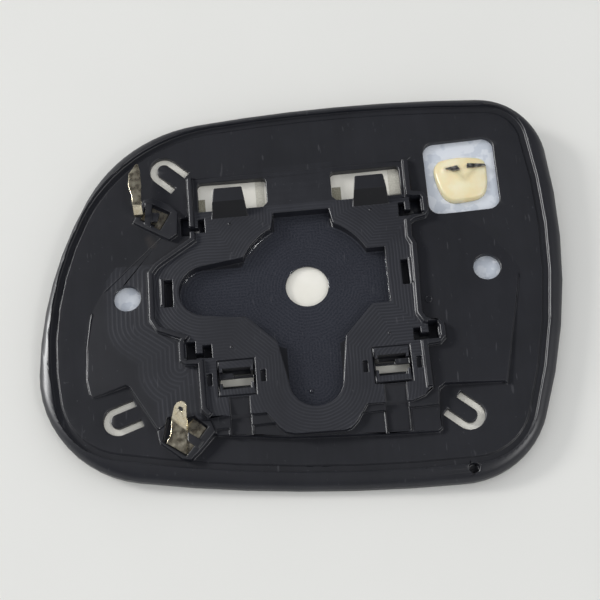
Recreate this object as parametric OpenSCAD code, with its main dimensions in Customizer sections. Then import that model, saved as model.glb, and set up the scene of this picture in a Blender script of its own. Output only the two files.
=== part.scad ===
/* [Pane] */
// Length of the whole part, over the rim
pane_len = 183; // [176:0.5:190]
// Thickness of the mirror glass
glass_thick = 2; // [1.6:0.1:2.4]
// Radius of the hollow back face of the plate
field_radius = 1000; // [900:10:1200]
// Depth of the field below the platform, at its lowest point
field_drop = 4.5; // [4.3:0.1:4.9]

/* [Plate] */
// Thickness of the plate between the field and the glass
plate_thick = 2.2; // [1.8:0.1:2.4]
// Height of the rim crest above the field
crest_height = 0.9; // [0.6:0.1:1.4]
// Width of the groove inside the rim crest
groove_w = 2.4; // [2:0.1:3]
// Thickness of the lip around the glass edge
lip_thick = 1.1; // [0.9:0.1:1.3]
// Clearance between the glass edge and the lip
glass_gap = 0.15; // [0.1:0.05:0.3]
// Depth of the lip's edge beyond the glass face
lip_proud = 0.4; // [0.2:0.1:0.6]
// Height of the inner step, below the platform floor
step_drop = 1; // [0.8:0.1:1.4]
// Height of the lower shelf, below the platform floor
shelf_drop = 2; // [1.7:0.1:2.3]
// Diameter of the drain hole in the rim
drain_d = 3.5; // [2.5:0.1:4]
// Length of the side holes' straight walls
side_wall = 2; // [1.8:0.1:2.1]
// Widening of the round holes where they meet the glass
hole_relief = 0.6; // [0.4:0.1:0.9]
// Diameter of the two side holes
side_hole_d = 9.4; // [8:0.1:11]
// Distance between the two side holes
side_hole_pitch = 125.6; // [122:0.2:128]

/* [Platform] */
// Height of the ribs above the platform floor
rib_height = 1.5; // [1:0.1:2.5]
// Width of a rib at its top
rib_w = 1.7; // [1.4:0.1:1.8]
// Depth of the round actuator recess
recess_depth = 4.2; // [3.6:0.1:4.4]
// Radius of the round part of the actuator recess
recess_r = 24.2; // [23:0.1:25.5]
// Diameter of the pivot hole in the middle of the recess
pivot_hole_d = 15; // [12:0.5:18]
// Length of the pivot hole's straight wall
pivot_wall = 1; // [0.8:0.1:1.1]
// Width of each hook window
window_w = 24.6; // [22:0.2:25]
// Distance between the middles of the hook windows
window_pitch = 47.8; // [46.5:0.1:48.5]
// Height of the hooks above the platform floor
hook_height = 4.5; // [3.5:0.1:6]
// Thickness of the hook tongues
hook_thick = 1.9; // [1.5:0.1:2.2]
// Side of the square latch frames
latch_side = 13; // [12:0.1:14]
// Distance between the middles of the latch frames
latch_pitch = 52.9; // [52:0.1:53.5]

/* [Springs] */
// Radius of the outer line of the U-cuts
cut_r = 5.1; // [4.6:0.1:5.4]
// Width of the U-cuts
cut_w = 2.6; // [2:0.1:2.8]
// Length of the straight part of the U-cuts
cut_len = 7.3; // [6.5:0.1:8]

/* [Terminals and potting] */
// Sheet thickness of the terminals
sheet_t = 0.6; // [0.4:0.1:0.8]
// Width of the terminal blades
blade_w = 4.6; // [4:0.1:5]
// Diameter of the hole in the lower blade
blade_hole_d = 1.8; // [1.2:0.1:2]
// Slope of the lower blade, in degrees
blade_slope = 48; // [40:1:55]
// Height of the upper blade above the platform floor
blade_height = 6; // [5:0.1:7]
// Width of the potting window
pot_window_w = 25; // [24:0.1:26]
// Height of the potting above the glass back
potting_rise = 2.5; // [2:0.1:3]
// Thickness of the two pins
pin_t = 0.8; // [0.6:0.1:1]

/* [Hidden] */
plastic = "#25272d";
tin = "#c9c3ae";
fine = 96;

// The field is part of a ball whose lowest point lies below the pivot hole
low_y = -41;
ball_centre = [0, low_y, field_radius - field_drop];
back_radius = field_radius + plate_thick;
front_radius = back_radius + glass_thick;

// Outlines: centres and radii of the four corner curves, clockwise from the upper left, then the
// radii of the four long sides, from the top
stretch = pane_len / 183;
crest_c = stretch * [[-25, 3.8], [67.7, 46.2], [51.3, -46.6], [-63.4, -32.6]];
crest_r = stretch * [59.5, 14.8, 22.3, 25.4];
crest_side = stretch * [445.9, 202.6, 576.6, 108.6];
outer_c = stretch * [[-30.7, 13.9], [63.2, 39.3], [46.8, -43.5], [-54.4, -26]];
outer_r = stretch * [51.4, 25.6, 31, 39.4];
outer_side = stretch * [443.6, 201.5, 634, 132.2];
corner_steps = 12;
side_steps = 6;
ball_bands = 12;
ball_reach = 144;

// Slopes of the moulded walls, as run for each unit of height
rib_draft = 0.3;
rib_root = 0.3;
rib_set = 0.15;
groove_depth = 0.5;
// Points of the outer slope: [place from the crest line to the outer line, depth below the field]
rim_slope = [[0.02, -1], [0.3, -0.72], [0.55, -0.3], [0.75, 0.3], [0.88, 1], [0.97, 1.7], [1.12, 3.4]];
below = -9;
above = 12;

side_hole_x = side_hole_pitch / 2;
window_x = window_pitch / 2;
window_y = [30.3, 41.6];
window_corner = 1.5;
window_bevel = 1.6;
hook_y = [27, 31.5, 36.8];
hook_half = [6.4, 5];
latch_x = latch_pitch / 2;
latch_y = -32.7;
drain_at = stretch * [49.6, -70.3];
pot_at = stretch * [58, 35.5];
pot_window_h = 27.4;
drain_depth = 1.7;
// The terminals and the pins keep their shape and move with the corner that they lie in
pot_shift = (stretch - 1) * [58, 35.5];
lower_shift = (stretch - 1) * [-47, -51];
upper_shift = (stretch - 1) * [-53, 30];
pocket_floor = -4;
slot_floor = -3.4;
left_channel = [-29.5, -22.4];
right_channel = [22.7, 30.4];
island_top = 0.9;
pin_z = 0.6;
upper_floor = -0.8;
lower_floor = -2.9;
finger_gap = 0.1;
skin = 0.5;

function heading(v) = atan2(v.y, v.x);
function outward(v) = [v.y, -v.x] / norm(v);
function moved(list, by) = [for (v = list) v + by];
function reverse(list) = [for (i = [len(list) - 1 : -1 : 0]) list[i]];

// Points on an arc from angle a0 by a signed sweep
function arc(c, r, a0, sweep, steps) =
    [for (i = [0 : steps]) c + r * [cos(a0 + sweep * i / steps), sin(a0 + sweep * i / steps)]];
function clockwise(a0, a1) = (a1 - a0 + 540) % 360 - 180;

// An open path moved to its right by d with mitred corners
function rail(p, d) = let (n = len(p)) [for (i = [0 : n - 1]) let (
    n0 = outward(i > 0 ? p[i] - p[i - 1] : p[1] - p[0]),
    n1 = outward(i < n - 1 ? p[i + 1] - p[i] : p[i] - p[i - 1]))
    p[i] + d * (n0 + n1) / (1 + n0 * n1)];

// Height of a ball's surface over the point p
function ball_z(p, r) = ball_centre.z - sqrt(r * r - pow(p.x, 2) - pow(p.y - low_y, 2));

// Centre of the long side that touches two corner circles from the outside
function side_centre(c0, r0, c1, r1, r) = let (
    d0 = r - r0,
    d1 = r - r1,
    span = norm(c1 - c0),
    u = (c1 - c0) / span,
    a = (d0 * d0 - d1 * d1 + span * span) / (2 * span))
    c0 + a * u + sqrt(d0 * d0 - a * a) * [u.y, -u.x];

// A closed outline of four corner arcs and four long side arcs, counterclockwise
function four_sided(c, r, side) = reverse([for (i = [0 : 3]) let (
    next = (i + 1) % 4,
    last = (i + 3) % 4,
    s_in = side_centre(c[last], r[last], c[i], r[i], side[last]),
    s_out = side_centre(c[i], r[i], c[next], r[next], side[i]),
    a0 = heading(c[i] - s_in),
    a1 = heading(c[i] - s_out),
    a2 = heading(c[next] - s_out),
    corner = arc(c[i], r[i], a0, clockwise(a0, a1), corner_steps),
    straight = arc(s_out, side[i], a1, clockwise(a1, a2), side_steps))
    each concat(corner, [for (k = [1 : side_steps - 1]) straight[k]])]);

function inset4(list, d) = [for (v = list) v - d];
function crest_line(d = 0) = four_sided(crest_c, inset4(crest_r, d), inset4(crest_side, d));
function outer_line(d = 0) = four_sided(outer_c, inset4(outer_r, d), inset4(outer_side, d));

// A rounded rectangle about c, counterclockwise
function rounded(c, w, h, r, steps = 4) = [for (q = [[1, 1, 0], [-1, 1, 90], [-1, -1, 180], [1, -1, 270]])
    each arc(c + [q.x * (w / 2 - r), q.y * (h / 2 - r)], r, q.z, 90, steps)];

// A surface through rows of points, closed into a ring or capped at its two ends
module loft(rows, ring = false) {
    n = len(rows);
    m = len(rows[0]);
    last = ring ? n - 1 : n - 2;
    sides = [for (i = [0 : last]) for (k = [0 : m - 1]) let (
        a = i * m + k,
        b = (i + 1) % n * m + k,
        c = (i + 1) % n * m + (k + 1) % m,
        d = i * m + (k + 1) % m)
        each [[a, b, c], [a, c, d]]];
    caps = ring ? [] : [[for (k = [0 : m - 1]) k], [for (k = [m - 1 : -1 : 0]) (n - 1) * m + k]];
    polyhedron([for (row = rows) each row], concat(caps, sides));
}

module block(outline, top_z) {
    prism(outline, below, top_z);
}

module pit(outline, floor_z) {
    prism(outline, floor_z, above);
}

module prism(outline, z0 = below, z1 = above) {
    translate([0, 0, z0]) linear_extrude(z1 - z0) polygon(outline);
}

// A rib that follows an open path: section points are [offset to the right, height]
module swept(path, section) {
    rails = [for (s = section) rail(path, s.x)];
    loft([for (i = [0 : len(path) - 1]) [for (k = [0 : len(section) - 1])
        [rails[k][i].x, rails[k][i].y, section[k].y]]]);
}

// The space inside a ball of radius r about the common centre, as far out as the part reaches
module ball(r) {
    rise = [for (k = [0 : ball_bands]) r - sqrt(r * r - pow(k * ball_reach / ball_bands, 2))];
    translate([0, low_y, ball_centre.z - r]) rotate_extrude($fn = 200)
        polygon(concat(
            [for (k = [0 : ball_bands]) [k * ball_reach / ball_bands, rise[k]]],
            [[ball_reach, 60], [0, 60]]));
}

module box(x, y, z) {
    translate([min(x), min(y), min(z)]) cube([abs(x[1] - x[0]), abs(y[1] - y[0]), abs(z[1] - z[0])]);
}

// Heights are written from the platform floor; the frame's own zero is the mouth of the pivot hole
module placed() {
    translate([0, 0, recess_depth]) children();
}

module both_sides() {
    children();
    mirror([1, 0, 0]) children();
}

// Outline of the platform, from the top left corner down the left side, then round to the right
left_edge = [[-39.8, 43.5], [-39.7, 20], [-50.3, 13.1], [-52.6, 11.5], [-55.2, 8.3], [-55.2, -9.6],
    [-52.9, -13.8], [-44.6, -17.4], [-45.4, -18.6], [-45.4, -25.2], [-43.6, -27.1], [-39.2, -27.3],
    [-38.9, -43.5], [-36.8, -46]];
bottom_edge = [[-17, -45.9], [-13.2, -51.3], [-11.2, -53.2], [-8, -54.1], [8.4, -54.3], [10.6, -53.7],
    [13, -51.4], [16.6, -45.9], [31.9, -46.2]];
right_edge = [[36.1, -44.8], [39.2, -42], [39.1, -27.3], [43.6, -26.9], [45.5, -24.9], [45.5, -20],
    [43.8, -18.6], [39.6, -17.4], [38.4, -15.1], [38.7, -6.9], [39.3, 10.8], [38.1, 13.6], [38.3, 18.9],
    [39.9, 19.9], [43.6, 20.6], [44.9, 22.3], [44.9, 28.4], [43.4, 30.1], [39.6, 30.8], [39.8, 43.5]];
platform_edge = concat(left_edge, bottom_edge, right_edge);

// Outline of the inner step, which runs out into the field above the side holes
step_edge = stretch * [[-50, 22], [-74, 0], [-75.6, -7], [-77, -17], [-77.4, -28.9], [-76.6, -33.7],
    [-75.3, -35.2], [-64.3, -31.6], [-63, -32.4], [-54.1, -48], [-40, -50], [40.6, -47.9], [41.3, -42.2],
    [43.5, -40.7], [63.2, -41.8], [64.1, -42.6], [68.3, -24.5], [72.1, -9.4], [74, 0], [60, 25],
    [44, 31], [-40, 30]];
shelf_edge = [[-36, -44], [-35.8, -50.3], [-34, -51.8], [-23.2, -52.8], [-10, -54.5], [13.2, -55.7],
    [30.4, -56.6], [39.5, -56.9], [40.8, -55.9], [40.6, -44]];

// Outlines of the two terminal islands and their pockets
upper_island = [[-59.6, 28.1], [-47, 20.3], [-44.2, 22.2], [-43.6, 30.6], [-46.2, 33.6], [-52.6, 37.3],
    [-55.4, 36.6]];
upper_pocket = [[-57, 28.9], [-49.9, 24.1], [-46, 30.6], [-50.4, 33.4], [-52, 34.4], [-54.6, 34.6]];
lower_island = [[-34.6, -50.6], [-36, -46.5], [-49.5, -45.6], [-54, -48.5], [-53.3, -53], [-45.6, -59.4],
    [-43.4, -59.6], [-40.2, -56.8]];
lower_pocket = [[-37, -48.8], [-41.6, -44.6], [-45.4, -45.4], [-47, -43.9], [-50.6, -44.3], [-52.6, -52.6],
    [-44.9, -58.4], [-42.2, -55.2]];

// Fingers of the plate that hold the terminals down
lower_finger = [[-44, -50], [-44.1, -53.2], [-40.6, -55.9], [-39, -53.8]];
upper_bar = [[-55.4, 26.9], [-53.4, 25.6], [-52.3, 34.8], [-54.8, 35.4]];
upper_finger = [[-53.4, 27.8], [-50.8, 27.5], [-49.9, 30.9], [-53, 31.3]];

// Outline of the actuator recess: a circle with four arms
function on_recess(a) = recess_r * [cos(a), sin(a)];
function side_arc(a0, a1) = arc([0, 0], recess_r, a0, a1 - a0, 6);
recess_edge = concat(
    [[28.2, -10], [28.2, 10.7]],
    side_arc(26, 63), [[9.9, 27.3], [-9.9, 27.3]], side_arc(117, 152),
    arc([-35.3, 0], 9.3, 98, 164, 12), [on_recess(208)], [on_recess(241)],
    arc([0.4, -36], 9.2, 184, 172, 12), [on_recess(299)], [on_recess(335)]);

module u_cut(at, tip_angle) {
    translate([at.x, at.y, below]) rotate([0, 0, tip_angle]) difference() {
        union() {
            cylinder(r = cut_r, h = above - below, $fn = fine);
            translate([-cut_len, -cut_r, 0]) cube([cut_len, 2 * cut_r, above - below]);
        }
        cylinder(r = cut_r - cut_w, h = above - below, $fn = fine);
        translate([-cut_len - 1, cut_w - cut_r, 0]) cube([cut_len + 1, 2 * (cut_r - cut_w), above - below]);
    }
}

// A hook: a ramp that rises from the platform floor and a flat tip over the window
module hook() {
    side = [[hook_y[0], -1], [hook_y[0], 0], [hook_y[1], hook_height], [hook_y[2], hook_height],
        [hook_y[2], hook_height - hook_thick], [hook_y[1] + 0.8, hook_height - hook_thick],
        [window_y[0] + 0.01, -0.4], [window_y[0] + 0.01, -2], [hook_y[0], -2]];
    translate([window_x + 1.2, 0, 0]) intersection() {
        rotate([90, 0, 90]) linear_extrude(30, center = true) polygon(side);
        prism([[-hook_half[0], hook_y[0]], [hook_half[0], hook_y[0]],
            [hook_half[1], hook_y[2]], [-hook_half[1], hook_y[2]]]);
    }
}

// A round hole that is wider below wall_end, where it meets the glass
module round_hole(d, wall_end) {
    translate([0, 0, below]) {
        cylinder(d = d, h = above - below, $fn = fine);
        cylinder(d = d + 2 * hole_relief, h = wall_end - below, $fn = fine);
    }
}

module window_cut() {
    x = [window_x - window_w / 2, window_x + window_w / 2];
    corner_y = window_y[1] - window_corner;
    prism(concat(
        arc([x[1] - window_corner, corner_y], window_corner, 0, 90, 5),
        arc([x[0] + window_corner, corner_y], window_corner, 90, 90, 5),
        [[x[0], window_y[0] + window_bevel], [x[0] + window_bevel, window_y[0]], [x[1], window_y[0]]]));
}

// One latch frame: a square seam, two slots, a strip that is open to the glass and two side pockets
module latch_cuts() {
    half = latch_side / 2;
    translate([latch_x, latch_y, 0]) {
        difference() {
            box([-half, half], [-half, half], [-skin, above]);
            box([-half + 0.35, half - 0.35], [-half + 0.35, half - 0.35], [-2, above + 1]);
        }
        box([-half + 0.6, half - 0.6], [-1.8, 2.2], [below, above]);
        box([-4.8, 4.8], [1.8, 3.4], [pocket_floor, above]);
        box([-4.8, 4.8], [-3.9, -1.7], [pocket_floor, above]);
        for (side = [-1, 1]) box([side * 9.1 - 0.9, side * 9.1 + 0.9], [-2.1, 2], [-1.2, above]);
    }
}

module latch_bar() {
    box([latch_x - latch_side / 2, latch_x + 1], [latch_y + 0.2, latch_y + 0.8], [-2.4, -1.4]);
    box([latch_x + 1, latch_x + latch_side / 2], [latch_y + 0.1, latch_y + 2], [-2.4, -1.2]);
}

// The channel below a latch frame: it slopes through the platform edge down to the shelf
module channel_cut(x, end_y) {
    top_y = latch_y - latch_side / 2 - 0.4;
    translate([x[0], 0, 0]) rotate([90, 0, 90]) linear_extrude(x[1] - x[0])
        polygon([[top_y, 3], [top_y, -0.6], [-45.5, -1.5], [-46.4, -2.5], [end_y, -2.7], [end_y, 3]]);
}

module channel_lips(x, end_y) {
    for (low_x = [x[0] - 0.5, x[1]]) box([low_x, low_x + 0.5], [end_y, -45.6], [-3, -1.6]);
}

// A latch pocket: an outer and an inner well joined below a small block
module pocket_cut(outer_x, inner_x, y, low) {
    box(outer_x, y, [pocket_floor, above]);
    box(inner_x, [y[0] + 0.4, y[1] - 1.6], [pocket_floor, above]);
    between_x = [min(outer_x[1], inner_x[0]) - 0.1, max(outer_x[0], inner_x[1]) + 0.1];
    box(between_x, [y[0] + 0.4, low], [pocket_floor, above]);
}

// The slots beside the recess, each with a small lip on its outer side
module side_slots() {
    box([-49.7, -46.7], [-4.9, 5.1], [slot_floor, above]);
    box([33.1, 35.6], [-4.1, 5.1], [slot_floor, above]);
}

module slot_lips() {
    box([-50.9, -50], [-4.4, 5.6], [-1, 0.7]);
    box([36.1, 37.1], [-3.6, 5.6], [-1, 0.7]);
}

// An outline between the crest line, at 0, and the outer line, at 1
function between(t) = four_sided(
    crest_c + t * (outer_c - crest_c),
    crest_r + t * (outer_r - crest_r),
    crest_side + t * (outer_side - crest_side));

// What is cleared above the outer slope of the rim
module rim_cutter() {
    lines = [for (s = rim_slope) between(s[0])];
    last = len(rim_slope) - 1;
    loft([for (i = [0 : len(lines[0]) - 1]) concat(
        [[lines[last][i].x, lines[last][i].y, above]],
        [for (k = [last : -1 : 0]) let (
            p = lines[k][i])
            [p.x, p.y, ball_z(p, field_radius + rim_slope[k][1])]],
        [[lines[0][i].x, lines[0][i].y, above]])], ring = true);
}

// The plate with its rim: the field, the groove, the crest, the outer slope and the lip
module shell() {
    difference() {
        intersection() {
            prism(outer_line(), -20, above);
            ball(front_radius + lip_proud);
        }
        difference() {
            ball(field_radius - crest_height);
            prism(crest_line(1), -20, above);
        }
        difference() {
            intersection() {
                prism(crest_line(), -20, above);
                ball(field_radius);
            }
            raised_blocks();
        }
        difference() {
            intersection() {
                prism(crest_line(), -20, above);
                ball(field_radius + groove_depth);
            }
            prism(crest_line(groove_w), -20, above);
        }
        rim_cutter();
        difference() {
            prism(outer_line(lip_thick), -20, above);
            ball(back_radius);
        }
    }
}

module ribs() {
    foot = rib_w + rib_draft * (rib_height + rib_root);
    section = [[-foot, -rib_root], [-rib_w, rib_height], [-rib_set, rib_height], [-rib_set, -rib_root]];
    swept(left_edge, section);
    swept([for (i = [1 : len(right_edge) - 1]) right_edge[i]], section);
}

module raised_blocks() {
    block(step_edge, -step_drop);
    block(shelf_edge, -shelf_drop);
    block(platform_edge, 0);
    block(moved(lower_island, lower_shift), -step_drop + 0.01);
    block(moved(upper_island, upper_shift), island_top);
}

module holder_plate() color(plastic) placed() {
    difference() {
        union() {
            shell();
            ribs();
        }
        pit(recess_edge, -recess_depth);
        round_hole(pivot_hole_d, -recess_depth - pivot_wall);
        both_sides() {
            translate([side_hole_x, 0, 0]) round_hole(side_hole_d, -step_drop - side_wall);
            window_cut();
            latch_cuts();
        }
        prism(rounded(pot_at, pot_window_w, pot_window_h, 4, 8));
        u_cut(stretch * [-47.7, 47.5], 138);
        u_cut(stretch * [-67.3, -43.8], 200);
        u_cut(stretch * [50.5, -52], -42);
        translate([drain_at.x, drain_at.y, ball_z(drain_at, field_radius) - drain_depth])
            cylinder(d = drain_d, h = above, $fn = fine);
        pocket_cut([38.8, 42.6], [34.6, 36.7], [21.4, 28.7], 24);
        pocket_cut([40, 43.2], [34.8, 37.2], [-25.4, -18.9], -22.6);
        pocket_cut([-43.1, -39.9], [-37.4, -34.4], [-25.3, -18.6], -23);
        pocket_cut([-42.8, -39.6], [-36.6, -34.4], [21.9, 29], 24.2);
        side_slots();
        channel_cut(left_channel, -52.6);
        channel_cut(right_channel, -55.6);
        pit(moved(upper_pocket, upper_shift), upper_floor);
        pit(moved(lower_pocket, lower_shift), lower_floor);
    }
    both_sides() {
        hook();
        latch_bar();
    }
    slot_lips();
    terminal_fingers();
    channel_lips(left_channel, -52.2);
    channel_lips(right_channel, -56);
}

module mirror_glass() color("#d8dcd8") placed() intersection() {
    prism(outer_line(lip_thick + glass_gap), -20, 30);
    difference() {
        ball(front_radius);
        ball(back_radius);
    }
}

// Fingers over the flat roots of the terminals, clear of the sheet by finger_gap
module terminal_fingers() {
    prism(moved(lower_finger, lower_shift), lower_floor + sheet_t + finger_gap, -step_drop + 0.2);
    prism(moved(upper_bar, upper_shift), upper_floor + sheet_t + finger_gap, island_top + 0.3);
    prism(moved(upper_finger, upper_shift), upper_floor + sheet_t + finger_gap, island_top + 0.2);
}

// A flat strip of sheet that follows a path seen from the side
module bent_strip(path, w) {
    rotate([90, 0, 90]) translate([0, 0, -w / 2]) linear_extrude(w)
        polygon(concat(path, reverse(rail(path, sheet_t))));
}

// A round bend of a sheet from heading a0 by a signed sweep, about its outer line
function bend(c, r, a0, sweep) = arc(c, r, a0, sweep, 5);

// The spade terminal at the upper left: a flat root below its finger, a double bend and a raised blade
module upper_terminal() color(tin) placed() translate(upper_shift) {
    root = [[-57.4, 33.6], [-57.4, 29.7], [-51.8, 26.9], [-52.7, 25.4], [-50.7, 24.3], [-49.8, 25.6],
        [-46.9, 30.4], [-50.5, 32.4], [-52.2, 33.4], [-54.6, 34.2]];
    half = blade_w / 2;
    blade = [[-1.1, 36], [-half, 40.1], [0.4 - half, 44.8], [0.8, 48.5], [1.4, 48.2], [half - 0.3, 46.1],
        [half, 39.6], [half - 0.3, 36]];
    translate([0, 0, upper_floor]) linear_extrude(sheet_t) polygon(root);
    translate([-57.3, 0, 0]) bent_strip(concat(
        [[32.2, upper_floor + sheet_t]],
        bend([31.4, 1], 1.2, 270, -85),
        [[30.3, 2.2]],
        bend([34.2, blade_height - 2.2], 2.2, 165, -75),
        [[37, blade_height]]), 3.2);
    translate([-57.8, 0, blade_height - sheet_t]) linear_extrude(sheet_t) polygon(blade);
}

// The spade terminal at the bottom: a flat root below its finger, a doubled part and a slanted blade
module lower_terminal() color(tin) placed() translate(lower_shift) {
    root = [[-46.5, -47.6], [-44.2, -47.2], [-41.9, -45.2], [-37.8, -48.9], [-40.5, -52.1], [-42.6, -55.2],
        [-44.6, -57.4], [-46.5, -56]];
    doubled = [[-49.2, -44.9], [-44.2, -49.1], [-44.8, -57.6], [-51.4, -53], [-49.8, -50.3]];
    fold = doubled[1] - doubled[0];
    fold_w = norm(fold);
    blade = [[0, -0.3], [fold_w, -0.3], [fold_w - 0.7, 2.2], [blade_w - 0.9, 6.8], [blade_w - 1.5, 8.5],
        [1.9, 9.3], [0.5, 9], [-0.5, 7.6], [-0.9, 5.6]];
    translate([0, 0, lower_floor]) linear_extrude(sheet_t) polygon(root);
    translate([0, 0, lower_floor + sheet_t]) linear_extrude(sheet_t) polygon(doubled);
    translate([doubled[0].x, doubled[0].y, lower_floor + sheet_t]) rotate([0, 0, heading(fold)])
        rotate([blade_slope, 0, 0]) difference() {
            linear_extrude(sheet_t) polygon(blade);
            translate([1.5, 6.2, -1]) cylinder(d = blade_hole_d, h = 3, $fn = 48);
        }
}

// The ends of the two pins: a flat lug and a thin one, seen from above
left_lug = [[52.6, 38.2], [55.4, 37], [57.9, 37.3], [56.9, 39.1], [55.4, 38.8]];
right_lug = [[60.2, 37.9], [62.2, 37.7], [67.2, 38], [66.6, 38.7], [60.6, 39.5]];

module left_pin_bar() prism(moved(left_lug, pot_shift), pin_z, pin_z + pin_t);
module right_pin_bar() prism(moved(right_lug, pot_shift), pin_z, pin_z + pin_t);

module left_pin() color("#8d8d8d") placed() left_pin_bar();
module right_pin() color("#8d8d8d") placed() right_pin_bar();

module potting() color("#e9ddb2") placed() {
    outline = [[48.5, 38.6], [49.4, 41.4], [51.5, 43], [58.8, 43.4], [65.6, 42.4], [67.6, 41], [67.4, 33.5],
        [66.4, 28.8], [65, 27.2], [62, 26.1], [54.8, 25.6], [52.2, 26.8], [50.4, 29.4], [49, 34]];
    top = ball_z(pot_at, back_radius) + potting_rise;
    difference() {
        intersection() {
            prism(moved(outline, pot_shift));
            translate([pot_at.x, pot_at.y - 1, top - 40]) sphere(40, $fn = 180);
            ball(back_radius);
        }
        left_pin_bar();
        right_pin_bar();
    }
}

mirror_glass();
holder_plate();
upper_terminal();
lower_terminal();
potting();
left_pin();
right_pin();
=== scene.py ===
import math

import bmesh
import bpy
from mathutils import Matrix, Vector


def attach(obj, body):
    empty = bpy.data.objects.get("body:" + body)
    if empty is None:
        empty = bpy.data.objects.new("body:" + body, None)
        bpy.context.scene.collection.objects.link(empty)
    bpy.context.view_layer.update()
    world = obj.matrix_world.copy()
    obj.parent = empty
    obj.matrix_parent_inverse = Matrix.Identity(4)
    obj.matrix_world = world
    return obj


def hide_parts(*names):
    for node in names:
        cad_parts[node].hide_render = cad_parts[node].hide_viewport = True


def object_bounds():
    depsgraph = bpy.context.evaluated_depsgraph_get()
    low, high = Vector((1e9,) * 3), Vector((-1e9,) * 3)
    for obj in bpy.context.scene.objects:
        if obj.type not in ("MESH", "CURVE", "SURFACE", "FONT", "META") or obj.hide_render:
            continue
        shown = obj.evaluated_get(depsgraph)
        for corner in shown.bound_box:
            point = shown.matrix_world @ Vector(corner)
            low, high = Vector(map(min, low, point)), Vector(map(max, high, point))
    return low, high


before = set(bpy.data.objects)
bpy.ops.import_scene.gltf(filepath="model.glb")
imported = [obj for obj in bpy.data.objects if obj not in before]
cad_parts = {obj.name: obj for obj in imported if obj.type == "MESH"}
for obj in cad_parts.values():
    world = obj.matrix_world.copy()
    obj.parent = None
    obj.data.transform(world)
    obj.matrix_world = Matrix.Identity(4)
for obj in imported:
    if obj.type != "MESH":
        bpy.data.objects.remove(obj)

cad_lo, cad_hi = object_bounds()
MM = 0.001

# Heights of the moulded levels, in millimetres above the mouth of the pivot hole, and how far from its
# height a level's own look still shows
PLATFORM_Z = 4.2
STEP_Z = PLATFORM_Z - 1
FLOOR_Z = 0.0
LEVEL_HALF = 0.12
FLOOR_HALF = 0.4

# Plan of the actuator recess, in millimetres: a disc cut by two chords (degrees, reach), two round arms
# (their middle line, radius) and two square ones (middle, half size)
RECESS_RADIUS = 24.2
RECESS_CHORDS = ((224.5, 23.2), (317.0, 23.0))
ROUND_ARMS = ((((-35.3, 0), (-22, 0)), 9.3), (((0.4, -36), (0.4, -22)), 9.2))
SQUARE_ARMS = (((14.1, 0.35), (14.1, 10.35)), ((0, 13.65), (9.9, 13.65)))

# The platform's left edge, and the rectangles in which a level has its own look; over the hooks' ramps that
# look is a painted shade
PLATFORM_LEFT = (
    ((-55.2, 9), (-55.2, -9.6)),
    ((-55.2, -9.6), (-45.2, -17.4)),
    ((-45.2, -17.4), (-45.2, -27)),
    ((-39.5, -27.3), (-38.9, -43.5)),
)
PLATFORM_PATCH = ((-56, 46), (-56, 30.3))
STEP_PATCH = ((-78, -39), (-49, 12))
BRIDGE_PATCH = ((-12.5, 12.5), (27.5, 46))
SHADED_RAMP_PATCH = ((-33, 33), (26.8, 31.6))
RAMP_FOOT_Z = 4.3
STAIN_LINE = ((-54.3, 21.8), (-53.2, 19.5))

# Pitch of the cutter's lines round the recess and beside the platform, and where the second kind fades
RECESS_PITCH = 1.12
SIDE_PITCH = 1.55
SIDE_LINES_FADE = (13, 16)

# The view of the photograph: lens, target, distance and angles
LENS = 80.95
SENSOR = 36.0
TARGET = Vector((-2.869, -6.7, PLATFORM_Z)) * MM
DISTANCE = 465.45 * MM
ELEVATION = math.radians(68.014)
AZIMUTH = math.radians(1.431)
ROLL = math.radians(-6.405)

# Tones of the black plastic, from its clean field to what is scuffed or cut, and a painted shade for the
# hooks' ramps
PLASTIC_DARK = (0.0082, 0.0090, 0.0135, 1)
PLASTIC_LIGHT = (0.0125, 0.0132, 0.0190, 1)
PLASTIC_CUT = (0.0185, 0.0195, 0.0265, 1)
PLASTIC_WORN = (0.052, 0.055, 0.066, 1)
PLASTIC_SCRATCHED = (0.13, 0.13, 0.14, 1)
PLASTIC_IN_SHADE = (0.003, 0.0032, 0.005, 1)
BROWN_STAIN = (0.10, 0.075, 0.05, 1)

# Tones of the pane: the film in the middle, at the ends and where it is dark, the glass edge and the mirror
FILM_CREAM = ((0.96, 0.93, 0.84, 1), (0.90, 0.87, 0.77, 1))
FILM_PALE = ((0.62, 0.66, 0.72, 1), (0.78, 0.81, 0.85, 1))
FILM_DARK = (0.20, 0.185, 0.12, 1)
GLASS_EDGE = (0.28, 0.40, 0.36, 1)
MIRROR_FACE = (0.8, 0.82, 0.83, 1)

# Small moulded details, in millimetres: middle and size of each floor, places and sizes of the marks
POCKET_FLOORS = (((-38.75, 25.4, 1.0), (9.4, 8.0, 0.5)), ((38.6, 25.1, 1.0), (8.8, 8.0, 0.5)))
PIPS = ((-25.5, 24.6), (24.6, 25.2), (-27.5, -21.7), (26.5, -21.7))
PIP_RADIUS = 0.55
RING_PLACE = (41.3, -10.2)
RING_RADIUS = 1.1
RING_WIRE = 0.22
SQUARE_PLACE = (-1.6, -38.6)
SQUARE_SIZE = (1.4, 1.6, 0.3)

# The heater film: where its cooler ends begin (x, and a limit in y), and its darker bands in the hook
# windows (the rectangle, and how dark it is)
FILM_RIGHT_END = (43, -30)
FILM_LEFT_END = (-50, 20)
FILM_BANDS = (
    (((-15.6, -12.4), (30, 42)), 0.35),
    (((-37.2, -33.9), (30, 36.5)), 0.8),
    (((11.8, 15.0), (30, 37)), 0.8),
    (((32.2, 36.3), (30, 42)), 0.35),
)

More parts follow.
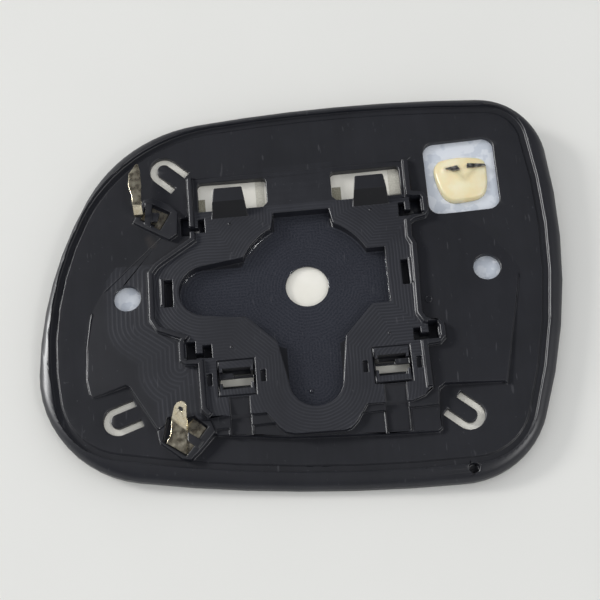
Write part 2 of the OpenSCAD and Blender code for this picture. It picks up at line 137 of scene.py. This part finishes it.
# The ball that the back of the pane follows, how near a face of the pane counts as on it, and the potting
# with its two pins
BALL_CENTRE = Vector((0, -41, 999.7))
BACK_RADIUS = 1002.2
GLASS_THICK = 2.0
SKIN = 0.1
POT_OUTLINE = (
    (48.7, 38.6), (49.7, 41.3), (52.2, 42.8), (58.8, 43.2), (65.1, 42.2), (67.2, 40.2), (67.3, 33.5),
    (66.2, 29.0), (64.2, 27.0), (61.0, 26.2), (55, 26.0), (52.3, 27.2), (50.5, 29.7), (49.2, 34),
)
POT_SMOOTH_STEPS = 5
POT_CENTRE = Vector((58, 34.5))
POT_TOP_Z = 4.6
POT_ROUNDING = 40.0
POT_SHOULDER = 0.1
POT_SHOULDER_ANGLES = (0.3, 0.65, 1.0, 1.3, math.pi / 2)
POT_RING_STEP = 0.1
POT_INNER_RINGS = 8
PIN_FOOT_Z = 4.95
PIN_CLIMB = 1.2
PIN_LINES = (((53.2, 38.1), (57.2, 38.2)), ((60.6, 38.6), (66.9, 38.3)))
TRAIL_LINES = (((56.4, 37.0), (59.4, 33.6)), ((59.4, 33.6), (62.5, 37)))

# The room: its light, what lies round and above it, and the heights between which the one becomes the other
ROOM_LIGHT = (0.94, 0.96, 1.0, 1)
ROOM_STRENGTH = 0.76
BACKDROP = (0.93, 0.93, 0.93, 1)
CEILING = (0.035, 0.036, 0.044, 1)
CEILING_FADE = (0.05, 0.55)


class Finish:
    """A procedural material, built up node by node on the Object coordinates."""

    def __init__(self, name):
        self.material = bpy.data.materials.new(name)
        self.material.use_nodes = True
        self.tree = self.material.node_tree
        self.skin = self.tree.nodes["Principled BSDF"]
        self.place = self.add("ShaderNodeTexCoord").outputs["Object"]

    def add(self, kind, **settings):
        node = self.tree.nodes.new(kind)
        for key, value in settings.items():
            setattr(node, key, value)
        return node

    def feed(self, socket, value):
        if isinstance(value, bpy.types.NodeSocket):
            self.tree.links.new(value, socket)
        else:
            socket.default_value = value

    def math(self, operation, *values):
        node = self.add("ShaderNodeMath", operation=operation)
        for socket, value in zip(node.inputs, values):
            self.feed(socket, value)
        return node.outputs[0]

    def vector(self, operation, *values, out="Vector"):
        node = self.add("ShaderNodeVectorMath", operation=operation)
        for socket, value in zip(node.inputs, values):
            self.feed(socket, value)
        return node.outputs[out]

    def axes(self):
        split = self.add("ShaderNodeSeparateXYZ")
        self.feed(split.inputs[0], self.place)
        return split.outputs

    def noise(self, size_mm, detail=3.0, roughness=0.5, stretch=(1, 1, 1)):
        mapping = self.add("ShaderNodeMapping")
        self.feed(mapping.inputs["Vector"], self.place)
        mapping.inputs["Scale"].default_value = stretch
        node = self.add("ShaderNodeTexNoise")
        self.feed(node.inputs["Vector"], mapping.outputs[0])
        node.inputs["Scale"].default_value = 1 / (size_mm * MM)
        node.inputs["Detail"].default_value = detail
        node.inputs["Roughness"].default_value = roughness
        return node.outputs["Fac"]

    def span(self, value, low, high, to_low=0.0, to_high=1.0):
        node = self.add("ShaderNodeMapRange", clamp=True)
        for socket, number in zip(node.inputs, (value, low, high, to_low, to_high)):
            self.feed(socket, number)
        return node.outputs[0]

    def mix(self, share, one, other):
        node = self.add("ShaderNodeMix", data_type="RGBA")
        self.feed(node.inputs[0], share)
        self.feed(node.inputs[6], one)
        self.feed(node.inputs[7], other)
        return node.outputs[2]

    def blend(self, share, one, other):
        node = self.add("ShaderNodeMix", data_type="FLOAT")
        for socket, value in zip(node.inputs, (share, one, other)):
            self.feed(socket, value)
        return node.outputs[0]

    def bump(self, height, depth_mm, normal=None):
        node = self.add("ShaderNodeBump")
        node.inputs["Strength"].default_value = 1.0
        node.inputs["Distance"].default_value = depth_mm * MM
        self.feed(node.inputs["Height"], height)
        if normal is not None:
            self.feed(node.inputs["Normal"], normal)
        return node.outputs[0]

    def near(self, value, centre_mm, half_mm):
        """1 where a height lies within half_mm of centre_mm, 0 elsewhere."""
        return self.math("COMPARE", value, centre_mm * MM, half_mm * MM)

    def flat_place(self):
        return self.vector("MULTIPLY", self.place, (1, 1, 0))

    def from_segment(self, point, start, end):
        """Distance from a point to the segment between two points, given in millimetres."""
        a = Vector((*start, 0)) * MM
        run = Vector((*end, 0)) * MM - a
        local = self.vector("SUBTRACT", point, tuple(a))
        along = self.vector("DOT_PRODUCT", local, tuple(run / run.length_squared), out="Value")
        along = self.math("MINIMUM", self.math("MAXIMUM", along, 0.0), 1.0)
        scale = self.add("ShaderNodeVectorMath", operation="SCALE")
        scale.inputs[0].default_value = tuple(run)
        self.feed(scale.inputs["Scale"], along)
        return self.vector("LENGTH", self.vector("SUBTRACT", local, scale.outputs[0]), out="Value")

    def length_mm(self, value, add=0.0):
        """A distance in metres as a number of millimetres."""
        return self.math("MULTIPLY_ADD", value, 1 / MM, add)

    def within(self, value, half_mm, soft_mm=0.6):
        """1 inside half_mm of zero, fading to 0 over soft_mm."""
        return self.span(self.math("ABSOLUTE", value), half_mm * MM, (half_mm + soft_mm) * MM, 1.0, 0.0)

    def patch(self, x, y, x_mm, y_mm):
        """1 over a rectangle seen from above, 0 elsewhere."""
        along_x, along_y = [self.near(place, (low + high) / 2, (high - low) / 2)
                            for place, (low, high) in ((x, x_mm), (y, y_mm))]
        return self.math("MULTIPLY", along_x, along_y)

    def from_lines(self, point, lines):
        """Distance from a point to the nearest of several segments."""
        return self.least(*[self.from_segment(point, start, end) for start, end in lines])

    def tool_lines(self, distance_mm, pitch_mm):
        """Thin ridges that follow a distance, one for each pitch."""
        wave = self.math("SINE", self.math("MULTIPLY", distance_mm, 2 * math.pi / pitch_mm))
        return self.math("POWER", self.math("MULTIPLY_ADD", wave, 0.5, 0.5), 2.5)

    def from_slab(self, x, y, centre_mm, half_mm):
        """Distance outside a rectangle, with mitred corners, in millimetres."""
        sides = []
        for place, centre, half in zip((x, y), centre_mm, half_mm):
            offset = self.math("ABSOLUTE", self.math("SUBTRACT", place, centre * MM))
            sides.append(self.length_mm(offset, -half))
        return self.math("MAXIMUM", *sides)

    def least(self, *values):
        result = values[0]
        for value in values[1:]:
            result = self.math("MINIMUM", result, value)
        return result


# Finishes

def from_recess_wall(f, x, y, flat):
    """Distance from the wall of the actuator recess in millimetres, below zero inside it."""
    disc = f.length_mm(f.vector("LENGTH", flat, out="Value"), -RECESS_RADIUS)
    for angle, reach in RECESS_CHORDS:
        way = (math.cos(math.radians(angle)), math.sin(math.radians(angle)), 0)
        chord = f.length_mm(f.vector("DOT_PRODUCT", flat, way, out="Value"), -reach)
        disc = f.math("MAXIMUM", disc, chord)
    round_arms = [f.length_mm(f.from_segment(flat, *line), -radius) for line, radius in ROUND_ARMS]
    square_arms = [f.from_slab(x, y, middle, half) for middle, half in SQUARE_ARMS]
    return f.least(disc, *round_arms, *square_arms)


def moulded_black():
    """Black moulded plastic with the lines of the mould's cutter, a sparked recess floor and a painted shade
    on the hooks' ramps.
    """
    f = Finish("moulded_black")
    x, y, z = f.axes()
    flat = f.flat_place()
    wall = from_recess_wall(f, x, y, flat)
    platform_side = f.from_lines(flat, PLATFORM_LEFT)

    inside = f.math("LESS_THAN", wall, 0.0)
    recess = f.math("MULTIPLY", f.near(z, FLOOR_Z, FLOOR_HALF), inside)
    platform = f.math("MULTIPLY", f.near(z, PLATFORM_Z, LEVEL_HALF), f.patch(x, y, *PLATFORM_PATCH))
    step = f.math("MULTIPLY", f.near(z, STEP_Z, LEVEL_HALF), f.patch(x, y, *STEP_PATCH))
    step = f.math("MULTIPLY", step, f.span(f.length_mm(platform_side), *SIDE_LINES_FADE, 1.0, 0.0))
    bridge = f.patch(x, y, *BRIDGE_PATCH)
    # painted shade: the hooks' ramps, above their foot, are marked to be darkened as though in shade
    shaded_ramps = f.math("MULTIPLY", f.patch(x, y, *SHADED_RAMP_PATCH), f.math("GREATER_THAN", z, RAMP_FOOT_Z * MM))

    grain = f.noise(0.55, detail=2.0, roughness=0.6)
    smudge = f.noise(22, detail=4.0, roughness=0.6)
    wander = f.noise(14, detail=2.0)
    streak = f.noise(2.2, detail=3.0, stretch=(1.0, 0.1, 1.0))
    rows = f.noise(1.5, detail=3.0, stretch=(0.06, 1.0, 1.0))
    specks = f.span(f.noise(1.3, detail=1.0), 0.76, 0.79)
    scratch = f.span(f.noise(1.1, detail=1.0, roughness=0.3, stretch=(1.0, 0.16, 1.0)), 0.73, 0.78)

    bent = f.math("MULTIPLY_ADD", wander, 1.2, wall)
    around = f.tool_lines(bent, RECESS_PITCH)
    beside = f.tool_lines(f.length_mm(platform_side), SIDE_PITCH)
    patchy = f.span(smudge, 0.38, 0.6, 0.35, 1.0)
    marks = f.math("MULTIPLY", around, f.math("MAXIMUM", platform, recess))
    marks = f.math("MAXIMUM", marks, f.math("MULTIPLY", beside, step))
    bridge_rows = f.math("MULTIPLY", rows, f.math("MULTIPLY", bridge, 0.6))
    marks = f.math("MAXIMUM", marks, bridge_rows)
    marks = f.math("MULTIPLY", marks, patchy)

    tone = f.mix(f.span(smudge, 0.35, 0.7), PLASTIC_DARK, PLASTIC_LIGHT)
    machined = f.math("MAXIMUM", recess, f.math("MAXIMUM", platform, step))
    tone = f.mix(f.math("MULTIPLY", machined, f.span(smudge, 0.3, 0.7, 0.6, 1.0)), tone, PLASTIC_CUT)
    tone = f.mix(f.math("MULTIPLY", streak, 0.12), tone, PLASTIC_WORN)
    tone = f.mix(f.math("MULTIPLY", marks, 0.5), tone, PLASTIC_WORN)
    tone = f.mix(f.math("MULTIPLY", recess, f.span(grain, 0.4, 0.65, 0.2, 0.7)), tone, PLASTIC_WORN)
    tone = f.mix(f.math("MULTIPLY", f.math("MAXIMUM", specks, scratch), 0.2), tone, PLASTIC_SCRATCHED)
    # painted shade: the ramps are darkened towards PLASTIC_IN_SHADE to stand for the shade they lie in
    tone = f.mix(f.math("MULTIPLY", shaded_ramps, 0.8), tone, PLASTIC_IN_SHADE)
    stain = f.span(f.length_mm(f.from_segment(flat, *STAIN_LINE)), 0.3, 2.2, 0.35, 0.0)
    tone = f.mix(f.math("MULTIPLY", stain, grain), tone, BROWN_STAIN)
    f.feed(f.skin.inputs["Base Color"], tone)
    rough = f.span(smudge, 0.3, 0.75, 0.21, 0.3)
    rough = f.math("MULTIPLY_ADD", marks, 0.12, rough)
    f.feed(f.skin.inputs["Roughness"], f.blend(recess, rough, 0.42))
    f.skin.inputs["Specular IOR Level"].default_value = 0.5

    normal = f.bump(marks, 0.03)
    normal = f.bump(f.math("MULTIPLY", grain, recess), 0.04, normal)
    f.feed(f.skin.inputs["Normal"], f.bump(f.noise(0.25, detail=1.0), 0.004, normal))
    return f.material


def silvered_pane():
    """The pane: a true mirror in front, a green glass edge, and behind it the pale heater film."""
    f = Finish("silvered_pane")
    x, y, _ = f.axes()
    haze = f.noise(9, detail=3.0)
    x_mm, y_mm = FILM_RIGHT_END
    right_end = f.math("MULTIPLY", f.math("GREATER_THAN", x, x_mm * MM), f.math("GREATER_THAN", y, y_mm * MM))
    x_mm, half_mm = FILM_LEFT_END
    left_end = f.math("MULTIPLY", f.math("LESS_THAN", x, x_mm * MM), f.within(y, half_mm))
    cool = f.math("MAXIMUM", right_end, left_end)
    cloud = f.span(f.noise(4.5, detail=2.0), 0.47, 0.53)
    cream = f.mix(f.span(haze, 0.35, 0.7), *FILM_CREAM)
    pale = f.mix(f.math("MULTIPLY", cloud, 0.8), *FILM_PALE)
    film = f.mix(cool, cream, pale)
    grit = f.noise(0.5, detail=2.0)
    for (x_mm, y_mm), share in FILM_BANDS:
        cover = f.span(grit, 0.2, 0.6, share - 0.15, share + 0.1)
        film = f.mix(f.math("MULTIPLY", f.patch(x, y, x_mm, y_mm), cover), film, FILM_DARK)
    depth = f.vector("DISTANCE", f.place, tuple(BALL_CENTRE * MM), out="Value")
    front = f.math("GREATER_THAN", depth, (BACK_RADIUS + GLASS_THICK - SKIN) * MM)
    edge = f.math("GREATER_THAN", depth, (BACK_RADIUS + SKIN) * MM)
    f.feed(f.skin.inputs["Base Color"], f.mix(front, f.mix(edge, film, GLASS_EDGE), MIRROR_FACE))
    f.feed(f.skin.inputs["Metallic"], front)
    f.feed(f.skin.inputs["Roughness"], f.blend(front, f.span(haze, 0.3, 0.7, 0.08, 0.14), 0.02))
    return f.material


def tinned_brass():
    """Tinned brass sheet with an olive cast and worn, brighter patches."""
    f = Finish("tinned_brass")
    patch = f.noise(2.2, detail=3.0)
    fine = f.noise(0.5, detail=2.0, stretch=(1.0, 0.3, 1.0))
    worn = f.mix(f.span(patch, 0.35, 0.65), (0.60, 0.53, 0.38, 1), (0.80, 0.74, 0.58, 1))
    dull = f.span(fine, 0.45, 0.7, 0.0, 0.25)
    f.feed(f.skin.inputs["Base Color"], f.mix(dull, worn, (0.42, 0.36, 0.24, 1)))
    f.skin.inputs["Metallic"].default_value = 1.0
    f.feed(f.skin.inputs["Roughness"], f.span(patch, 0.3, 0.7, 0.22, 0.36))
    return f.material


def cream_compound():
    """Cream sealing compound with a brown stain round the two pins."""
    f = Finish("cream_compound")
    flat = f.flat_place()
    wobble = f.noise(2.5, detail=3.0)
    reach = f.math("MULTIPLY_ADD", wobble, 2.2, f.length_mm(f.from_lines(flat, PIN_LINES)))
    drift = f.math("MULTIPLY_ADD", wobble, 2.0, f.length_mm(f.from_lines(flat, TRAIL_LINES)))
    cloud = f.noise(6, detail=3.0)
    body = f.mix(f.span(cloud, 0.35, 0.65), (0.90, 0.76, 0.44, 1), (0.93, 0.85, 0.58, 1))
    body = f.mix(f.span(drift, 0.8, 2.6, 0.45, 0.0), body, (0.50, 0.40, 0.20, 1))
    body = f.mix(f.span(reach, 1.0, 2.6, 0.6, 0.0), body, (0.40, 0.30, 0.16, 1))
    f.feed(f.skin.inputs["Base Color"], body)
    f.skin.inputs["Roughness"].default_value = 0.34
    f.skin.inputs["Subsurface Weight"].default_value = 0.12
    f.skin.inputs["Subsurface Scale"].default_value = 1.2 * MM
    f.feed(f.skin.inputs["Normal"], f.bump(cloud, 0.25, f.bump(f.noise(1.2), 0.02)))
    return f.material


def dull_steel():
    f = Finish("dull_steel")
    patch = f.noise(1.2, detail=2.0)
    f.feed(f.skin.inputs["Base Color"],
           f.mix(f.span(patch, 0.35, 0.65), (0.16, 0.16, 0.16, 1), (0.42, 0.41, 0.39, 1)))
    f.skin.inputs["Metallic"].default_value = 1.0
    f.feed(f.skin.inputs["Roughness"], f.span(patch, 0.3, 0.7, 0.3, 0.5))
    return f.material


def pale_sheet():
    f = Finish("pale_sheet")
    f.feed(f.skin.inputs["Base Color"],
           f.mix(f.noise(60), (0.79, 0.78, 0.735, 1), (0.82, 0.81, 0.765, 1)))
    f.skin.inputs["Roughness"].default_value = 0.7
    f.skin.inputs["Specular IOR Level"].default_value = 0.2
    return f.material


FINISHES = {
    "holder_plate": moulded_black(),
    "mirror_glass": silvered_pane(),
    "upper_terminal": tinned_brass(),
    "potting": cream_compound(),
    "left_pin": dull_steel(),
}
FINISHES["lower_terminal"] = FINISHES["upper_terminal"]
FINISHES["right_pin"] = FINISHES["left_pin"]


# Gap below which facets are joined, angle above which an edge is rounded, and by how much, in millimetres
WELD_GAP = 0.002
SHARP_ANGLE = 32
ROUNDING = {
    "holder_plate": 0.35,
    "mirror_glass": 0.3,
    "upper_terminal": 0.12,
    "lower_terminal": 0.12,
    "potting": 0.3,
    "left_pin": 0.15,
    "right_pin": 0.15,
}


def dress(node):
    """Gives a CAD node its finish, joins its facets and rounds its edges."""
    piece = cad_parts[node]
    piece.data.materials.clear()
    piece.data.materials.append(FINISHES[node])
    weld = piece.modifiers.new("Weld", "WELD")
    weld.merge_threshold = WELD_GAP * MM
    rounding = piece.modifiers.new("Rounding", "BEVEL")
    rounding.width = ROUNDING[node] * MM
    rounding.segments = 2
    rounding.profile = 0.5
    rounding.limit_method = "ANGLE"
    rounding.angle_limit = math.radians(SHARP_ANGLE)
    rounding.use_clamp_overlap = False
    rounding.material = -1
    smooth = piece.modifiers.new("Normals", "WEIGHTED_NORMAL")
    smooth.keep_sharp = False
    for polygon in piece.data.polygons:
        polygon.use_smooth = True


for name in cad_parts:
    dress(name)


# Pieces that the solids leave plain

def back_z(x, y):
    """Height of the back of the pane over a point, in millimetres."""
    across = (x - BALL_CENTRE.x) ** 2 + (y - BALL_CENTRE.y) ** 2
    return BALL_CENTRE.z - math.sqrt(BACK_RADIUS ** 2 - across)


def new_piece(name, bm, finish):
    """Makes a finished piece, in metres, from a bmesh that was built in millimetres."""
    bmesh.ops.scale(bm, vec=(MM, MM, MM), verts=bm.verts)
    bmesh.ops.recalc_face_normals(bm, faces=bm.faces)
    if bm.calc_volume(signed=True) < 0:
        bmesh.ops.reverse_faces(bm, faces=bm.faces)
    for face in bm.faces:
        face.smooth = True
    mesh = bpy.data.meshes.new(name)
    bm.to_mesh(mesh)
    bm.free()
    piece = bpy.data.objects.new(name, mesh)
    bpy.context.scene.collection.objects.link(piece)
    mesh.materials.append(finish)
    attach(piece, "root")
    return piece


def line_distance(point, start, end):
    start, run = Vector(start), Vector(end) - Vector(start)
    share = min(max((point - start).dot(run) / run.length_squared, 0), 1)
    return (point - start - share * run).length


def smooth_loop(points, steps):
    """A closed curve through the points, with steps points on each stretch."""
    count = len(points)
    loop = []
    for i in range(count):
        before, start, end, after = (Vector(points[(i + k) % count]) for k in (-1, 0, 1, 2))
        for k in range(steps):
            t = k / steps
            loop.append(0.5 * (2 * start + (end - before) * t
                               + (2 * before - 5 * start + 4 * end - after) * t ** 2
                               + (3 * start - 3 * end + after - before) * t ** 3))
    return loop


def potting_mound():
    """The compound as it set: a soft mound on the glass that climbs a little up the pins."""
    rings = [(1 - POT_SHOULDER * (1 - math.cos(angle)), math.sin(angle)) for angle in POT_SHOULDER_ANGLES]
    rings += [(1 - POT_SHOULDER - POT_RING_STEP * k, 1.0) for k in range(1, POT_INNER_RINGS + 1)]
    bm = bmesh.new()
    share = bm.verts.layers.float.new("share")
    outline = smooth_loop(POT_OUTLINE, POT_SMOOTH_STEPS)
    foot = bm.faces.new([bm.verts.new((*point, 0)) for point in outline])
    face = foot
    reach = 1.0
    for scale, height in rings:
        grown = bmesh.ops.extrude_face_region(bm, geom=[face])["geom"]
        if face is not foot:
            bmesh.ops.delete(bm, geom=[face], context="FACES_ONLY")
        face = next(item for item in grown if isinstance(item, bmesh.types.BMFace))
        bmesh.ops.scale(bm, vec=(scale / reach, scale / reach, 1), verts=face.verts,
                        space=Matrix.Translation((-POT_CENTRE.x, -POT_CENTRE.y, 0)))
        for vert in face.verts:
            vert[share] = height
        reach = scale
    for vert in bm.verts:
        point = vert.co.xy
        crown = POT_TOP_Z - (point - POT_CENTRE).length_squared / (2 * POT_ROUNDING)
        near = min(line_distance(point, *ends) for ends in PIN_LINES)
        crown += max(0, PIN_FOOT_Z - crown) * math.exp(-(near / PIN_CLIMB) ** 2)
        base = back_z(*point)
        vert.co.z = base + (crown - base) * vert[share]
    return bm


def pocket_floors():
    """The closed bottoms of the two upper latch pockets."""
    bm = bmesh.new()
    for middle, size in POCKET_FLOORS:
        slab = bmesh.ops.create_cube(bm, size=1)["verts"]
        bmesh.ops.scale(bm, vec=size, verts=slab)
        bmesh.ops.translate(bm, vec=middle, verts=slab)
    return bm


def mould_marks():
    """Four ejector pips, a ring and a small square that the mould leaves."""
    bm = bmesh.new()
    for x, y in PIPS:
        pip = bmesh.ops.create_uvsphere(bm, u_segments=16, v_segments=8, radius=PIP_RADIUS)["verts"]
        bmesh.ops.scale(bm, vec=(1, 1, 0.5), verts=pip)
        bmesh.ops.translate(bm, vec=(x, y, PLATFORM_Z), verts=pip)
    start = bmesh.ops.create_circle(bm, segments=8, radius=RING_WIRE)["verts"]
    bmesh.ops.rotate(bm, verts=start, cent=(0, 0, 0), matrix=Matrix.Rotation(math.pi / 2, 3, "X"))
    bmesh.ops.translate(bm, vec=(RING_RADIUS, 0, 0), verts=start)
    edges = list({edge for vert in start for edge in vert.link_edges})
    bmesh.ops.spin(bm, geom=start + edges, cent=(0, 0, 0), axis=(0, 0, 1), angle=2 * math.pi,
                   steps=24, use_merge=True)
    ring = [vert for vert in bm.verts if vert.co.xy.length < RING_RADIUS + 2 * RING_WIRE]
    bmesh.ops.translate(bm, vec=(*RING_PLACE, STEP_Z), verts=ring)
    square = bmesh.ops.create_cube(bm, size=1)["verts"]
    bmesh.ops.scale(bm, vec=SQUARE_SIZE, verts=square)
    bmesh.ops.translate(bm, vec=(*SQUARE_PLACE, FLOOR_Z), verts=square)
    return bm


new_piece("pocket_floors", pocket_floors(), FINISHES["holder_plate"])
new_piece("mould_marks", mould_marks(), FINISHES["holder_plate"])
mound = new_piece("potting_mound", potting_mound(), FINISHES["potting"])
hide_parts("potting")


# Stage, lamps and camera

def floor(height):
    """The pale sheet that the part lies on."""
    bm = bmesh.new()
    bmesh.ops.create_grid(bm, x_segments=2, y_segments=2, size=1.5)
    bmesh.ops.translate(bm, verts=bm.verts, vec=(0, 0, height))
    mesh = bpy.data.meshes.new("floor")
    bm.to_mesh(mesh)
    bm.free()
    ground = bpy.data.objects.new("floor", mesh)
    bpy.context.scene.collection.objects.link(ground)
    mesh.materials.append(pale_sheet())


def soft_lamp(name, place, size, power, gloss_only=False):
    """A square lamp that looks at the part; one for gloss only lights no matt surface."""
    data = bpy.data.lights.new(name, "AREA")
    data.shape = "SQUARE"
    data.size = size
    data.energy = power
    lamp = bpy.data.objects.new(name, data)
    lamp.location = place
    lamp.visible_diffuse = not gloss_only
    lamp.rotation_mode = "QUATERNION"
    lamp.rotation_quaternion = (-Vector(place)).to_track_quat("-Z", "Y")
    bpy.context.scene.collection.objects.link(lamp)


def studio_world():
    """An even room for the light. The camera sees a pale backdrop, and gloss sees it under a dim ceiling."""
    world = bpy.data.worlds.new("studio")
    world.use_nodes = True
    tree = world.node_tree

    def add(kind, *sources, **settings):
        node = tree.nodes.new(kind)
        for key, value in settings.items():
            setattr(node, key, value)
        for socket, source in zip(node.inputs, sources):
            tree.links.new(source, socket)
        return node

    path = add("ShaderNodeLightPath")
    gloss = add("ShaderNodeMath", path.outputs["Is Glossy Ray"], path.outputs["Is Transmission Ray"],
                operation="MAXIMUM")
    seen = add("ShaderNodeMath", path.outputs["Is Camera Ray"], gloss.outputs[0], operation="MAXIMUM")

    way = add("ShaderNodeTexCoord")
    split = add("ShaderNodeSeparateXYZ", way.outputs["Generated"])
    height = add("ShaderNodeMapRange", split.outputs["Z"], interpolation_type="SMOOTHSTEP")
    height.inputs["From Min"].default_value, height.inputs["From Max"].default_value = CEILING_FADE
    ceiling = add("ShaderNodeMath", height.outputs[0], gloss.outputs[0], operation="MULTIPLY")
    shade = add("ShaderNodeMix", ceiling.outputs[0], data_type="RGBA")
    shade.inputs[6].default_value = BACKDROP
    shade.inputs[7].default_value = CEILING

    backdrop = add("ShaderNodeBackground", shade.outputs[2])
    room = tree.nodes["Background"]
    room.inputs["Color"].default_value = ROOM_LIGHT
    room.inputs["Strength"].default_value = ROOM_STRENGTH
    mixed = add("ShaderNodeMixShader", seen.outputs[0], room.outputs[0], backdrop.outputs[0])
    tree.links.new(mixed.outputs[0], tree.nodes["World Output"].inputs["Surface"])
    bpy.context.scene.world = world


def photo_camera():
    """The camera of the photograph."""
    toward = Vector((
        math.cos(ELEVATION) * math.sin(AZIMUTH),
        -math.cos(ELEVATION) * math.cos(AZIMUTH),
        math.sin(ELEVATION),
    ))
    forward = -toward
    right = forward.cross(Vector((0, 0, 1))).normalized()
    up = right.cross(forward)
    side = right * math.cos(ROLL) + up * math.sin(ROLL)
    top = up * math.cos(ROLL) - right * math.sin(ROLL)
    data = bpy.data.cameras.new("photo_camera")
    data.lens = LENS
    data.sensor_width = SENSOR
    data.clip_start = 0.01
    camera = bpy.data.objects.new("photo_camera", data)
    camera.rotation_mode = "QUATERNION"
    camera.rotation_quaternion = Matrix((side, top, toward)).transposed().to_quaternion()
    camera.location = TARGET + toward * DISTANCE
    bpy.context.scene.collection.objects.link(camera)
    bpy.context.scene.camera = camera


floor(cad_lo.z)
soft_lamp("key_lamp", (-2.1, 0.95, 1.3), 0.6, 23)
soft_lamp("fill_lamp", (1.1, -1.1, 1.9), 0.4, 5)
soft_lamp("left_edge_lamp", (-1.9, 0.85, 1.15), 0.5, 75, gloss_only=True)
soft_lamp("right_edge_lamp", (1.5, -0.6, 1.8), 0.35, 22, gloss_only=True)
studio_world()
photo_camera()
bpy.context.scene.view_settings.view_transform = "Standard"
